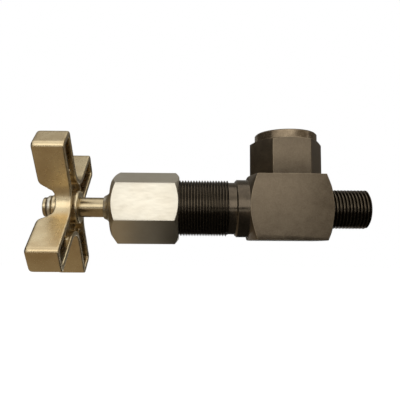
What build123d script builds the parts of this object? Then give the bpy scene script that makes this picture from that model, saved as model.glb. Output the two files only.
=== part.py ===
from build123d import *
import os
from math import radians, tan, sqrt

# Angle-pattern gauge shut-off valve, in millimetres.
# Frame: the origin is the centre of the inlet shoulder, where the inlet thread leaves the body.
# +X runs along the spindle and out of the inlet, +Z up along the gauge port.

os.makedirs("parts", exist_ok=True)

# ---- Fits -------------------------------------------------------------------------------
running_gap = 0.05          # radial gap of parts that turn or slide in each other
axial_gap = 0.05            # gap between faces that turn past each other
seat_gap = 0.03             # gap left between cone and seat, measured along the axis
thread_flat_share = 1 / 6   # share of the pitch that is flat at a thread's crest and at its root

# ---- Body -------------------------------------------------------------------------------
body_side = 34.0            # square section
body_length = 42.6          # along X
port_inset = 21.4           # from the inlet shoulder to the gauge port's axis
end_chamfer_length = 3.6    # axial length of the turned chamfers on the body's ends
end_land = 0.2              # how far the turned end faces reach past the flats' middles
flow_radius = 2.5           # drilled passages

# ---- Inlet, G 1/2 -----------------------------------------------------------------------
inlet_radius = 20.955 / 2   # thread crest
inlet_depth = 1.162         # thread depth
inlet_pitch = 1.814
inlet_length = 22.5
inlet_relief_length = 0.6
inlet_chamfer_length = 0.9
inlet_tip_radius = 9.1

# ---- Neck, M30 x 1.5 --------------------------------------------------------------------
neck_radius = 15.0          # thread crest
neck_depth = 0.92           # thread depth
neck_pitch = 1.5
collar_radius = 15.5
collar_length = 6.8
collar_chamfer = 0.8
relief_drop = 0.1           # how far the relief lies below the thread's root
relief_length = 4.0

# ---- Bonnet nut -------------------------------------------------------------------------
bonnet_flats = 34.0
bonnet_hex_length = 35.45
bonnet_floor_depth = 4.5    # from the front end face to the floor that the gland bears on
bonnet_turn = 6.2           # degrees that a flat is turned from facing -Y
exposed_thread = 26.15      # neck thread left bare between relief and bonnet nut
bonnet_back_land = 16.9     # radius of the end face towards the body
bonnet_back_chamfer = 2.1   # axial length of that chamfer
bonnet_front_land = 15.4    # radius of the end face towards the handle
bonnet_front_chamfer = 3.3
nose_length = 4.6
nose_foot_radius = 10.0     # where the nose's hollow curve starts
nose_foot_rise = 1.1
nose_waist_radius = 7.6
nose_waist_rise = 2.2
nose_tip_radius = 6.1

# ---- Packing ----------------------------------------------------------------------------
packing_radius = 10.0
packing_depth = 21.0        # depth of the packing chamber in the neck
packing_washer_thickness = 1.5
packing_adapter_length = 3.0
packing_ring_length = 2.5
packing_ring_count = 3
packing_vee = 1.4           # depth of the chevrons' vee
gland_take_up = 0.5         # room between the gland's flange and the neck's end
gland_flange_thickness = 3.0
gland_flange_radius = 13.5
wiper_radius = 7.2
wiper_length = 3.0
wiper_lip = 4.0             # from the wiper's groove to the nose's tip

# ---- Spindle and needle -----------------------------------------------------------------
stem_radius = 5.3
stem_end_radius = 5.2
spindle_thread_radius = 7.0
lift = 6.0                  # travel from shut to open
chamber_radius = 6.0        # bore that guides the needle and the spindle's nose
seat_offset = 7.0           # from the gauge port's axis to the seat
cone_half_angle = 30.0
needle_tip_radius = 0.8
needle_radius = 4.5
needle_reach = 15.6         # from the seat to the needle's guide
needle_guide_length = 6.0
shank_radius = 3.0
shank_length = 10.0
shank_end_gap = 0.5
retainer_inset = 6.5        # from the guide to the middle of the retaining ring
retainer_width = 1.0
retainer_radius = 4.0
retainer_bite = 0.35        # depth of the ring's groove in the shank
spindle_nose_length = 14.0
thread_lead_in = 1.5        # room ahead of the spindle's thread when shut
stem_chamfer = 0.6

# ---- Handle -----------------------------------------------------------------------------
arm_count = 4
arm_reach = 43.3            # from the axis to an arm's end face
arm_width = 15.0
arm_corner_radius = 2.6
valley_radius = 12.0        # blend between neighbouring arms
handle_turn = 3.0           # degrees
handle_depth = 16.4
handle_edge_radius = 2.0
handle_wall = 2.8
hollow_corner_radius = 1.2  # corners of the hollow at an arm's end
stem_exposed = 12.7         # bare spindle between bonnet nose and handle hub
hub_radius = 9.0
hub_stand_out = 1.6         # how far the hub stands out of the handle's back
dish_depth = 8.0
dish_floor_radius = 17.0
dish_rim_radius = 21.5
dish_floor_fillet = 2.5
dish_rim_fillet = 2.0
hub_web = 3.0               # wall behind the dish's floor
dish_foot_wall = 1.5        # wall round the dish, radially, at the web's back
dish_rim_wall = 3.0         # and at the front wall's back
boss_radius = 6.8
boss_height = 5.0
boss_round = 0.8
rib_radius = 20.0
rib_thickness = 2.0
rib_drop = 3.0              # how far the ribs stay below the handle's back rim
cast_overlap = 1.0          # how far ribs, hub and boss run into the walls they are cast on
handle_washer_radius = 6.2
handle_washer_thickness = 1.8
snap_ring_width = 0.9
snap_ring_bite = 0.6        # depth of the snap ring's groove
snap_ring_stand_out = 0.35
stem_end_length = 1.9       # spindle in front of the snap ring
pin_radius = 1.5
pin_inset = 3.2             # from the hub's back face to the pin
pin_end_drop = 0.4          # how far the pin's ends lie below the hub

# ---- Union nut and gauge nipple ---------------------------------------------------------
union_flats = 34.0
union_hex_height = 19.2     # up to where the chamfer meets the flats
union_chamfer_height = 1.25
union_collar_radius = 16.8
union_height = 23.5
union_collar_chamfer = 0.7
gauge_crest_radius = 18.631 / 2
gauge_depth = 1.162
gauge_pitch = 1.814
gauge_mouth = 0.9           # height of the countersink at the socket's mouth
union_lip_height = 5.0
union_pocket_height = 5.6   # height of the plain pocket below the socket's thread
nipple_stud_radius = 6.0
nipple_stud_length = 8.5
nipple_neck_radius = 7.5
nipple_flange_gap = 0.1     # between the flange and the socket's thread crest
nipple_flange_height = 3.0
nipple_seal_radius = 9.0
nipple_seal_height = 1.5
gasket_height = 2.0
gasket_bore_radius = 3.2    # clears the spigot on a gauge's stem
spigot_recess_depth = 1.5   # room for that spigot's end in the nipple

# ---- Places along X ---------------------------------------------------------------------
port_x = -port_inset
body_left = -body_length
collar_left = body_left - collar_length
relief_left = collar_left - relief_length
bonnet_right = relief_left - exposed_thread
bonnet_hex_left = bonnet_right - bonnet_hex_length
nose_left = bonnet_hex_left - nose_length
bonnet_floor = bonnet_hex_left + bonnet_floor_depth
gland_flange_right = bonnet_floor + gland_flange_thickness
neck_left = gland_flange_right + gland_take_up
packing_floor = neck_left + packing_depth

seat_x = port_x + seat_offset
needle_guide_right = seat_x - needle_reach
needle_guide_left = needle_guide_right - needle_guide_length
shank_left = needle_guide_left - shank_length
retainer_x = needle_guide_left - retainer_inset
spindle_right = needle_guide_left - axial_gap
spindle_thread_right = spindle_right - spindle_nose_length
spindle_thread_left = packing_floor + lift + axial_gap
thread_bore_right = spindle_thread_right + thread_lead_in

hub_back = nose_left - stem_exposed
handle_back = hub_back - hub_stand_out
handle_front = handle_back - handle_depth
dish_floor = handle_front + dish_depth
web_back = dish_floor + hub_web
front_wall_back = handle_front + handle_wall
boss_front = dish_floor - boss_height
washer_front = boss_front - handle_washer_thickness
snap_ring_front = washer_front - snap_ring_width
spindle_left = snap_ring_front - stem_end_length
pin_x = hub_back - pin_inset

# ---- Places along Z ---------------------------------------------------------------------
body_top = body_side / 2
union_bottom = body_top + axial_gap
union_lip_top = union_bottom + union_lip_height
union_thread_bottom = union_lip_top + union_pocket_height
union_top = union_bottom + union_height
nipple_flange_bottom = union_lip_top + axial_gap
nipple_flange_top = nipple_flange_bottom + nipple_flange_height
nipple_seal_bottom = body_top - nipple_seal_height
nipple_stud_bottom = nipple_seal_bottom - nipple_stud_length

# ---- Radii that follow others -----------------------------------------------------------
guide_radius = chamber_radius - running_gap
thread_bore_radius = spindle_thread_radius + running_gap
packing_bore_radius = stem_radius + running_gap
nipple_flange_radius = gauge_crest_radius - nipple_flange_gap
union_lip_radius = nipple_neck_radius + running_gap
union_pocket_radius = gauge_crest_radius + gauge_depth

# Planes: turned parts along X are drawn as (x, radius), those along Z as (radius, z).
spindle_section = Plane.XZ
port_section = Plane(origin=(port_x, 0, 0), x_dir=(1, 0, 0), z_dir=(0, -1, 0))
port_axis = Axis((port_x, 0, 0), (0, 0, 1))


def across_spindle(x):
    """Plane across the spindle at x, seen from the handle: local x is -Y and local y is +Z."""
    return Plane(origin=(x, 0, 0), x_dir=(0, -1, 0), z_dir=(-1, 0, 0))


def thread_outline(start, end, crest, root, pitch):
    """Corner points of ring grooves from start to end, as (place along the axis, radius)."""
    way = 1 if end > start else -1
    flat = pitch * thread_flat_share
    flank = pitch / 2 - flat
    count = int((abs(end - start) - flat) / pitch)
    points = []
    for turn in range(count):
        crest_start = start + way * turn * pitch
        points += [
            (crest_start, crest),
            (crest_start + way * flat, crest),
            (crest_start + way * (flat + flank), root),
            (crest_start + way * (2 * flat + flank), root),
        ]
    return points + [(start + way * count * pitch, crest), (end, crest)]


def flipped(points):
    """The same outline drawn with the radius first, for parts turned about the port's axis."""
    return [(radius, place) for place, radius in points]


# ---- Valve body: square block, neck and inlet in one piece ---------------------------------
block_corner_radius = body_side / sqrt(2)
block_end_radius = body_side / 2 + end_land
inlet_root = inlet_radius - inlet_depth
neck_root = neck_radius - neck_depth

with BuildPart() as valve_body:
    with BuildSketch(across_spindle(0)):
        Rectangle(body_side, body_side)
    extrude(amount=body_length)
    with BuildSketch(spindle_section):
        with BuildLine():
            Polyline(
                (0, 0),
                (0, block_end_radius),
                (-end_chamfer_length, block_corner_radius),
                (body_left + end_chamfer_length, block_corner_radius),
                (body_left, block_end_radius),
                (body_left, 0),
                close=True,
            )
        make_face()
    revolve(axis=Axis.X, mode=Mode.INTERSECT)
    # inlet spigot, and collar, relief and threaded neck
    with BuildSketch(spindle_section):
        with BuildLine():
            Polyline(
                (body_left, 0),
                (body_left, inlet_root),
                (inlet_relief_length, inlet_root),
                *thread_outline(
                    inlet_relief_length,
                    inlet_length - inlet_chamfer_length,
                    inlet_radius,
                    inlet_root,
                    inlet_pitch,
                ),
                (inlet_length, inlet_tip_radius),
                (inlet_length, 0),
                close=True,
            )
        make_face()
    revolve(axis=Axis.X)
    with BuildSketch(spindle_section):
        with BuildLine():
            Polyline(
                (body_left, 0),
                (body_left, collar_radius),
                (collar_left + collar_chamfer, collar_radius),
                (collar_left, collar_radius - collar_chamfer),
                (collar_left, neck_root - relief_drop),
                (relief_left, neck_root - relief_drop),
                *thread_outline(relief_left, neck_left + neck_depth, neck_radius, neck_root, neck_pitch),
                (neck_left, neck_root),
                (neck_left, 0),
                close=True,
            )
        make_face()
    revolve(axis=Axis.X)
    # stepped bore: inlet passage, needle chamber, spindle thread and packing chamber
    with BuildSketch(spindle_section):
        with BuildLine():
            Polyline(
                (inlet_length, 0),
                (inlet_length, flow_radius),
                (seat_x, flow_radius),
                (seat_x, chamber_radius),
                (thread_bore_right, chamber_radius),
                (thread_bore_right, thread_bore_radius),
                (packing_floor, thread_bore_radius),
                (packing_floor, packing_radius),
                (neck_left, packing_radius),
                (neck_left, 0),
                close=True,
            )
        make_face()
    revolve(axis=Axis.X, mode=Mode.SUBTRACT)
    # gauge port: sealing counterbore, nipple hole and passage down to the chamber
    with BuildSketch(port_section):
        with BuildLine():
            Polyline(
                (0, body_top),
                (nipple_seal_radius, body_top),
                (nipple_seal_radius, nipple_seal_bottom),
                (nipple_stud_radius, nipple_seal_bottom),
                (nipple_stud_radius, nipple_stud_bottom),
                (flow_radius, nipple_stud_bottom),
                (flow_radius, 0),
                (0, 0),
                close=True,
            )
        make_face()
    revolve(axis=port_axis, mode=Mode.SUBTRACT)

# ---- Bonnet nut ----------------------------------------------------------------------------
bonnet_corner_radius = bonnet_flats / sqrt(3)
wiper_left = nose_left + wiper_lip
wiper_right = wiper_left + wiper_length

with BuildPart() as bonnet_nut:
    with BuildSketch(across_spindle(bonnet_right)):
        RegularPolygon(bonnet_flats / 2, 6, major_radius=False, rotation=bonnet_turn + 30)
    extrude(amount=bonnet_hex_length)
    with BuildSketch(spindle_section):
        with BuildLine():
            Polyline(
                (bonnet_right, 0),
                (bonnet_right, bonnet_back_land),
                (bonnet_right - bonnet_back_chamfer, bonnet_corner_radius),
                (bonnet_hex_left + bonnet_front_chamfer, bonnet_corner_radius),
                (bonnet_hex_left, bonnet_front_land),
                (bonnet_hex_left, 0),
                close=True,
            )
        make_face()
    revolve(axis=Axis.X, mode=Mode.INTERSECT)
    # nose with its hollow curve
    with BuildSketch(spindle_section):
        with BuildLine():
            Line((bonnet_hex_left, 0), (bonnet_hex_left, bonnet_front_land))
            Line(
                (bonnet_hex_left, bonnet_front_land),
                (bonnet_hex_left - nose_foot_rise, nose_foot_radius),
            )
            ThreePointArc(
                (bonnet_hex_left - nose_foot_rise, nose_foot_radius),
                (bonnet_hex_left - nose_waist_rise, nose_waist_radius),
                (nose_left, nose_tip_radius),
            )
            Line((nose_left, nose_tip_radius), (nose_left, 0))
            Line((nose_left, 0), (bonnet_hex_left, 0))
        make_face()
    revolve(axis=Axis.X)
    # thread bore, gland floor, wiper groove and stem bore
    with BuildSketch(spindle_section):
        with BuildLine():
            Polyline(
                (bonnet_right, 0),
                (bonnet_right, neck_radius),
                (bonnet_floor, neck_radius),
                (bonnet_floor, packing_bore_radius),
                (wiper_right, packing_bore_radius),
                (wiper_right, wiper_radius),
                (wiper_left, wiper_radius),
                (wiper_left, packing_bore_radius),
                (nose_left, packing_bore_radius),
                (nose_left, 0),
                close=True,
            )
        make_face()
    revolve(axis=Axis.X, mode=Mode.SUBTRACT)

with BuildPart() as stem_wiper:
    with BuildSketch(across_spindle(wiper_right)):
        Circle(wiper_radius)
        Circle(packing_bore_radius, mode=Mode.SUBTRACT)
    extrude(amount=wiper_length)

# ---- Packing, from the gland follower to the washer at the bottom --------------------------
packing_washer_left = packing_floor - packing_washer_thickness
base_ring_left = packing_washer_left - packing_adapter_length
rings_left = base_ring_left - packing_ring_count * packing_ring_length
header_left = rings_left - packing_adapter_length
packing_middle_radius = (packing_radius + packing_bore_radius) / 2

with BuildPart() as gland_follower:
    with BuildSketch(spindle_section):
        with BuildLine():
            Polyline(
                (header_left, packing_bore_radius),
                (header_left, packing_radius),
                (gland_flange_right, packing_radius),
                (gland_flange_right, gland_flange_radius),
                (bonnet_floor, gland_flange_radius),
                (bonnet_floor, packing_bore_radius),
                close=True,
            )
        make_face()
    revolve(axis=Axis.X)

with BuildPart() as packing_header_ring:
    with BuildSketch(spindle_section):
        with BuildLine():
            Polyline(
                (header_left, packing_bore_radius),
                (header_left, packing_radius),
                (rings_left, packing_radius),
                (rings_left + packing_vee, packing_middle_radius),
                (rings_left, packing_bore_radius),
                close=True,
            )
        make_face()
    revolve(axis=Axis.X)

with BuildPart() as packing_base_ring:
    with BuildSketch(spindle_section):
        with BuildLine():
            Polyline(
                (packing_washer_left, packing_bore_radius),
                (packing_washer_left, packing_radius),
                (base_ring_left, packing_radius),
                (base_ring_left + packing_vee, packing_middle_radius),
                (base_ring_left, packing_bore_radius),
                close=True,
            )
        make_face()
    revolve(axis=Axis.X)

with BuildPart() as packing_washer:
    with BuildSketch(across_spindle(packing_floor)):
        Circle(packing_radius)
        Circle(packing_bore_radius, mode=Mode.SUBTRACT)
    extrude(amount=packing_washer_thickness)


def make_packing_ring(left):
    """Chevron ring whose left side is at left; its vee points to the valve body."""
    right = left + packing_ring_length
    with BuildPart() as packing_ring:
        with BuildSketch(spindle_section):
            with BuildLine():
                Polyline(
                    (left, packing_bore_radius),
                    (left + packing_vee, packing_middle_radius),
                    (left, packing_radius),
                    (right, packing_radius),
                    (right + packing_vee, packing_middle_radius),
                    (right, packing_bore_radius),
                    close=True,
                )
            make_face()
        revolve(axis=Axis.X)
    return packing_ring.part


# ---- Needle: doesn't turn, slides with the spindle ------------------------------------------
cone_slope = tan(radians(cone_half_angle))
cone_tip_x = seat_x - seat_gap + (flow_radius - needle_tip_radius) / cone_slope
cone_base_x = seat_x - seat_gap - (needle_radius - flow_radius) / cone_slope
retainer_right = retainer_x + retainer_width / 2
retainer_left = retainer_x - retainer_width / 2

with BuildPart() as needle_cone:
    with BuildSketch(spindle_section):
        with BuildLine():
            Polyline(
                (cone_tip_x, 0),
                (cone_tip_x, needle_tip_radius),
                (cone_base_x, needle_radius),
                (needle_guide_right, needle_radius),
                (needle_guide_right, guide_radius),
                (needle_guide_left, guide_radius),
                (needle_guide_left, shank_radius),
                (retainer_right + axial_gap, shank_radius),
                (retainer_right + axial_gap, shank_radius - retainer_bite),
                (retainer_left - axial_gap, shank_radius - retainer_bite),
                (retainer_left - axial_gap, shank_radius),
                (shank_left, shank_radius),
                (shank_left, 0),
                close=True,
            )
        make_face()
    revolve(axis=Axis.X)

with BuildPart() as needle_retaining_ring:
    with BuildSketch(across_spindle(retainer_right)):
        Circle(retainer_radius)
        Circle(shank_radius - retainer_bite + running_gap, mode=Mode.SUBTRACT)
    extrude(amount=retainer_width)

# ---- Spindle --------------------------------------------------------------------------------
socket_radius = shank_radius + running_gap
socket_left = shank_left - shank_end_gap
groove_radius = stem_end_radius - snap_ring_bite

with BuildPart() as spindle:
    with BuildSketch(spindle_section):
        with BuildLine():
            Polyline(
                (spindle_right, socket_radius),
                (spindle_right, guide_radius),
                (spindle_thread_right, guide_radius),
                (spindle_thread_right, spindle_thread_radius),
                (spindle_thread_left, spindle_thread_radius),
                (spindle_thread_left, stem_radius),
                (hub_back, stem_radius),
                (hub_back, stem_end_radius),
                (washer_front, stem_end_radius),
                (washer_front, groove_radius),
                (snap_ring_front, groove_radius),
                (snap_ring_front, stem_end_radius),
                (spindle_left + stem_chamfer, stem_end_radius),
                (spindle_left, stem_end_radius - stem_chamfer),
                (spindle_left, 0),
                (socket_left, 0),
                (socket_left, socket_radius),
                (retainer_left, socket_radius),
                (retainer_left, retainer_radius),
                (retainer_right, retainer_radius),
                (retainer_right, socket_radius),
                close=True,
            )
        make_face()
    revolve(axis=Axis.X)
    with BuildSketch(Plane.XY.offset(-hub_radius)):
        with Locations((pin_x, 0)):
            Circle(pin_radius)
    extrude(amount=2 * hub_radius, mode=Mode.SUBTRACT)

# ---- Handle: four hollow arms on a dished hub ------------------------------------------------
arm_start_angle = 360 / arm_count / 2 + handle_turn


def cross_outline(inset, corner_radius):
    """Sketch of the arms' outline, drawn in by inset all round."""
    with BuildSketch() as outline:
        for arm in range(arm_count):
            with PolarLocations(0, 1, start_angle=arm_start_angle + arm * 360 / arm_count):
                Rectangle(arm_reach - inset, arm_width - 2 * inset, align=(Align.MIN, Align.CENTER))
        by_distance = outline.vertices().sort_by_distance((0, 0, 0))
        fillet(by_distance[:arm_count], valley_radius + inset)
        fillet(outline.vertices().sort_by_distance((0, 0, 0))[-2 * arm_count:], corner_radius)
    return outline.sketch


outer_cross = cross_outline(0, arm_corner_radius)
inner_cross = cross_outline(handle_wall, hollow_corner_radius)

# the hollow in the handle's back, kept clear of the dish
with BuildPart() as handle_hollow:
    with BuildSketch(across_spindle(handle_back)):
        add(inner_cross)
    extrude(amount=handle_depth - handle_wall)
    with BuildSketch(spindle_section):
        with BuildLine():
            Polyline(
                (web_back, 0),
                (web_back, dish_floor_radius + dish_foot_wall),
                (front_wall_back, dish_rim_radius + dish_rim_wall),
                (handle_front, dish_rim_radius + dish_rim_wall),
                (handle_front, 0),
                close=True,
            )
        make_face()
    revolve(axis=Axis.X, mode=Mode.SUBTRACT)

with BuildPart() as handle:
    with BuildSketch(across_spindle(handle_back)):
        add(outer_cross)
    extrude(amount=handle_depth)
    fillet(handle.faces().sort_by(Axis.X)[0].edges(), handle_edge_radius)
    # dished front
    with BuildSketch(spindle_section):
        with BuildLine():
            Polyline(
                (dish_floor, 0),
                (dish_floor, dish_floor_radius),
                (handle_front, dish_rim_radius),
                (handle_front, arm_reach),
                (handle_front - dish_depth, arm_reach),
                (handle_front - dish_depth, 0),
                close=True,
            )
        dish = make_face()
        floor_corner = dish.vertices().sort_by_distance((dish_floor, dish_floor_radius, 0))[0]
        fillet(floor_corner, dish_floor_fillet)
        rim_corner = dish.vertices().sort_by_distance((handle_front, dish_rim_radius, 0))[0]
        fillet(rim_corner, dish_rim_fillet)
    revolve(axis=Axis.X, mode=Mode.SUBTRACT)
    add(handle_hollow.part, mode=Mode.SUBTRACT)
    # ribs across the arms' hollows
    with BuildSketch(across_spindle(handle_back - rib_drop)):
        with PolarLocations(rib_radius, arm_count, start_angle=arm_start_angle):
            Rectangle(rib_thickness, arm_width - 2 * (handle_wall - cast_overlap))
    extrude(amount=handle_depth - rib_drop - handle_wall + cast_overlap)
    # hub at the back and boss at the front
    with BuildSketch(across_spindle(hub_back)):
        Circle(hub_radius)
    extrude(amount=hub_back - web_back)
    with BuildSketch(spindle_section):
        with BuildLine():
            Polyline(
                (dish_floor + cast_overlap, 0),
                (dish_floor + cast_overlap, boss_radius),
                (boss_front + boss_round, boss_radius),
                (boss_front, boss_radius - boss_round),
                (boss_front, 0),
                close=True,
            )
        make_face()
    revolve(axis=Axis.X)
    with BuildSketch(across_spindle(hub_back)):
        Circle(stem_end_radius)
    extrude(amount=hub_back - boss_front, mode=Mode.SUBTRACT)
    with BuildSketch(Plane.XY.offset(-hub_radius)):
        with Locations((pin_x, 0)):
            Circle(pin_radius)
    extrude(amount=2 * hub_radius, mode=Mode.SUBTRACT)

with BuildPart() as handle_pin:
    pin_half_length = hub_radius - pin_end_drop
    with BuildSketch(Plane.XY.offset(-pin_half_length)):
        with Locations((pin_x, 0)):
            Circle(pin_radius)
    extrude(amount=2 * pin_half_length)

with BuildPart() as handle_washer:
    with BuildSketch(across_spindle(boss_front)):
        Circle(handle_washer_radius)
        Circle(stem_end_radius, mode=Mode.SUBTRACT)
    extrude(amount=handle_washer_thickness)

with BuildPart() as handle_snap_ring:
    with BuildSketch(across_spindle(washer_front)):
        Circle(stem_end_radius + snap_ring_stand_out)
        Circle(groove_radius, mode=Mode.SUBTRACT)
    extrude(amount=snap_ring_width)

# ---- Gauge nipple, its seals and the union nut -----------------------------------------------
with BuildPart() as gauge_nipple:
    with BuildSketch(port_section):
        with BuildLine():
            Polyline(
                (flow_radius, nipple_stud_bottom),
                (nipple_stud_radius, nipple_stud_bottom),
                (nipple_stud_radius, body_top),
                (nipple_neck_radius, body_top),
                (nipple_neck_radius, nipple_flange_bottom),
                (nipple_flange_radius, nipple_flange_bottom),
                (nipple_flange_radius, nipple_flange_top),
                (gasket_bore_radius, nipple_flange_top),
                (gasket_bore_radius, nipple_flange_top - spigot_recess_depth),
                (flow_radius, nipple_flange_top - spigot_recess_depth),
                close=True,
            )
        make_face()
    revolve(axis=port_axis)

with BuildPart() as nipple_seal_ring:
    with BuildSketch(Plane.XY.offset(nipple_seal_bottom)):
        with Locations((port_x, 0)):
            Circle(nipple_seal_radius)
            Circle(nipple_stud_radius, mode=Mode.SUBTRACT)
    extrude(amount=nipple_seal_height)

with BuildPart() as gauge_gasket:
    with BuildSketch(Plane.XY.offset(nipple_flange_top)):
        with Locations((port_x, 0)):
            Circle(nipple_flange_radius)
            Circle(gasket_bore_radius, mode=Mode.SUBTRACT)
    extrude(amount=gasket_height)

union_corner_radius = union_flats / sqrt(3)
union_corner_top = union_bottom + union_hex_height - union_chamfer_height

with BuildPart() as union_nut:
    with BuildSketch(Plane.XY.offset(union_bottom)):
        with Locations((port_x, 0)):
            RegularPolygon(union_flats / 2, 6, major_radius=False)
    extrude(amount=union_hex_height)
    with BuildSketch(port_section):
        with BuildLine():
            Polyline(
                (0, union_bottom),
                (union_corner_radius, union_bottom),
                (union_corner_radius, union_corner_top),
                (union_collar_radius, union_bottom + union_hex_height),
                (0, union_bottom + union_hex_height),
                close=True,
            )
        make_face()
    revolve(axis=port_axis, mode=Mode.INTERSECT)
    with BuildSketch(port_section):
        with BuildLine():
            Polyline(
                (0, union_bottom + union_hex_height),
                (union_collar_radius, union_bottom + union_hex_height),
                (union_collar_radius, union_top - union_collar_chamfer),
                (union_collar_radius - union_collar_chamfer, union_top),
                (0, union_top),
                close=True,
            )
        make_face()
    revolve(axis=port_axis)
    # lip, plain pocket and threaded socket
    with BuildSketch(port_section):
        with BuildLine():
            Polyline(
                (0, union_bottom),
                (union_lip_radius, union_bottom),
                (union_lip_radius, union_lip_top),
                (union_pocket_radius, union_lip_top),
                (union_pocket_radius, union_thread_bottom),
                *flipped(
                    thread_outline(
                        union_thread_bottom,
                        union_top - gauge_mouth,
                        gauge_crest_radius,
                        gauge_crest_radius + gauge_depth,
                        gauge_pitch,
                    )
                ),
                (gauge_crest_radius + gauge_mouth, union_top),
                (0, union_top),
                close=True,
            )
        make_face()
    revolve(axis=port_axis, mode=Mode.SUBTRACT)

# ---- Labels and files --------------------------------------------------------------------------
pieces = {
    "valve_body": valve_body.part,
    "bonnet_nut": bonnet_nut.part,
    "stem_wiper": stem_wiper.part,
    "gland_follower": gland_follower.part,
    "packing_header_ring": packing_header_ring.part,
    "packing_base_ring": packing_base_ring.part,
    "packing_washer": packing_washer.part,
    "needle_cone": needle_cone.part,
    "needle_retaining_ring": needle_retaining_ring.part,
    "spindle": spindle.part,
    "handle": handle.part,
    "handle_pin": handle_pin.part,
    "handle_washer": handle_washer.part,
    "handle_snap_ring": handle_snap_ring.part,
    "gauge_nipple": gauge_nipple.part,
    "nipple_seal_ring": nipple_seal_ring.part,
    "gauge_gasket": gauge_gasket.part,
    "union_nut": union_nut.part,
}
for number in range(packing_ring_count):
    ring_left = base_ring_left - (number + 1) * packing_ring_length
    pieces[f"packing_ring_{number + 1}"] = make_packing_ring(ring_left)

for name, part in pieces.items():
    part.label = name
    export_step(part, f"parts/{name}.step")
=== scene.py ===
import math

import bpy
from mathutils import Matrix, Vector


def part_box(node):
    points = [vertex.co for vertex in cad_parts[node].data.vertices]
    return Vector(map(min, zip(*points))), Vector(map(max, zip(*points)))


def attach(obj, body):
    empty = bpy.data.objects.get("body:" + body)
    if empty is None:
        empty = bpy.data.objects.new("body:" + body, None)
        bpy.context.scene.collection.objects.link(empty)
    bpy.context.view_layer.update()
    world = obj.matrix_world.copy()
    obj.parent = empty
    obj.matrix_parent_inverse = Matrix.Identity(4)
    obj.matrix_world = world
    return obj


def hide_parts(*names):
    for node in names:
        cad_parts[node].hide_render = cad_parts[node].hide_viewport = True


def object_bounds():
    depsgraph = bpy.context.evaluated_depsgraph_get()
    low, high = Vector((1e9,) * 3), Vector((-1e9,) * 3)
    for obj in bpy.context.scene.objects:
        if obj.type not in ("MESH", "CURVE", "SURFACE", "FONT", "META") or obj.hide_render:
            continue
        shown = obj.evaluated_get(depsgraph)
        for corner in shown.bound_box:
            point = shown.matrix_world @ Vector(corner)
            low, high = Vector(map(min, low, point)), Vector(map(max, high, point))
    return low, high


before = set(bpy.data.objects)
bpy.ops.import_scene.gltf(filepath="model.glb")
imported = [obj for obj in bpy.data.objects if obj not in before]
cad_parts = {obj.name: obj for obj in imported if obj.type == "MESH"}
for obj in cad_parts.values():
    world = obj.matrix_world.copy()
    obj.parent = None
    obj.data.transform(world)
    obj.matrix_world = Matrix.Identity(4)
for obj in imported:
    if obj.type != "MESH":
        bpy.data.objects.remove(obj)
cad_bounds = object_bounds()

# ---- Studio ------------------------------------------------------------------------------------
# The valve is held by its inlet, clear of a plain pale floor. A large soft lamp stands in front
# and another hangs overhead. Dim cards, which only reflections see, keep the bare metal from
# washing out: dark at the sides and below, grey behind, warm below the handle.
MM = 0.001
FLOOR_DROP = 105 * MM       # from the object's lowest point to the floor
FLOOR_SIZE = 6.0
FILL_LEVEL = 0.28           # of the light that comes from all round
WHITE_LEVEL = 1.0
FLOOR_GLOW = 0.8            # added to the floor only where it is seen as background


def linear(hex_colour):
    """An sRGB colour such as "A0B0C0" as linear red, green, blue and alpha."""
    channels = [int(hex_colour[i:i + 2], 16) / 255 for i in (0, 2, 4)]
    return [c / 12.92 if c <= 0.04045 else ((c + 0.055) / 1.055) ** 2.4 for c in channels] + [1.0]


def add_node(tree, kind, inputs=None, **settings):
    """Adds a node. inputs gives a value, or another node's output, for each socket."""
    node = tree.nodes.new(kind)
    for name, value in settings.items():
        setattr(node, name, value)
    for socket, value in (inputs or {}).items():
        if isinstance(value, bpy.types.NodeSocket):
            tree.links.new(value, node.inputs[socket])
        else:
            node.inputs[socket].default_value = value
    return node


def empty_material(name):
    """A new material without nodes, and its node tree."""
    material = bpy.data.materials.new(name)
    material.use_nodes = True
    material.node_tree.nodes.clear()
    return material, material.node_tree


def seen_background(tree):
    """1 for rays that show the background: from the camera, or by way of gloss or glass."""
    path = add_node(tree, "ShaderNodeLightPath")
    first = add_node(tree, "ShaderNodeMath", {
        0: path.outputs["Is Camera Ray"], 1: path.outputs["Is Glossy Ray"]}, operation="MAXIMUM")
    all_three = add_node(tree, "ShaderNodeMath", {
        0: first.outputs[0], 1: path.outputs["Is Transmission Ray"]}, operation="MAXIMUM")
    return all_three.outputs[0]


world = bpy.data.worlds.new("studio_world")
bpy.context.scene.world = world
world.use_nodes = True
world.node_tree.nodes.clear()
soft_fill = add_node(world.node_tree, "ShaderNodeBackground", {
    "Color": linear("FFFFFF"), "Strength": FILL_LEVEL})
white_backdrop = add_node(world.node_tree, "ShaderNodeBackground", {
    "Color": linear("FFFFFF"), "Strength": WHITE_LEVEL})
world_mix = add_node(world.node_tree, "ShaderNodeMixShader", {
    0: seen_background(world.node_tree), 1: soft_fill.outputs[0], 2: white_backdrop.outputs[0]})
add_node(world.node_tree, "ShaderNodeOutputWorld", {"Surface": world_mix.outputs[0]})

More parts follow.
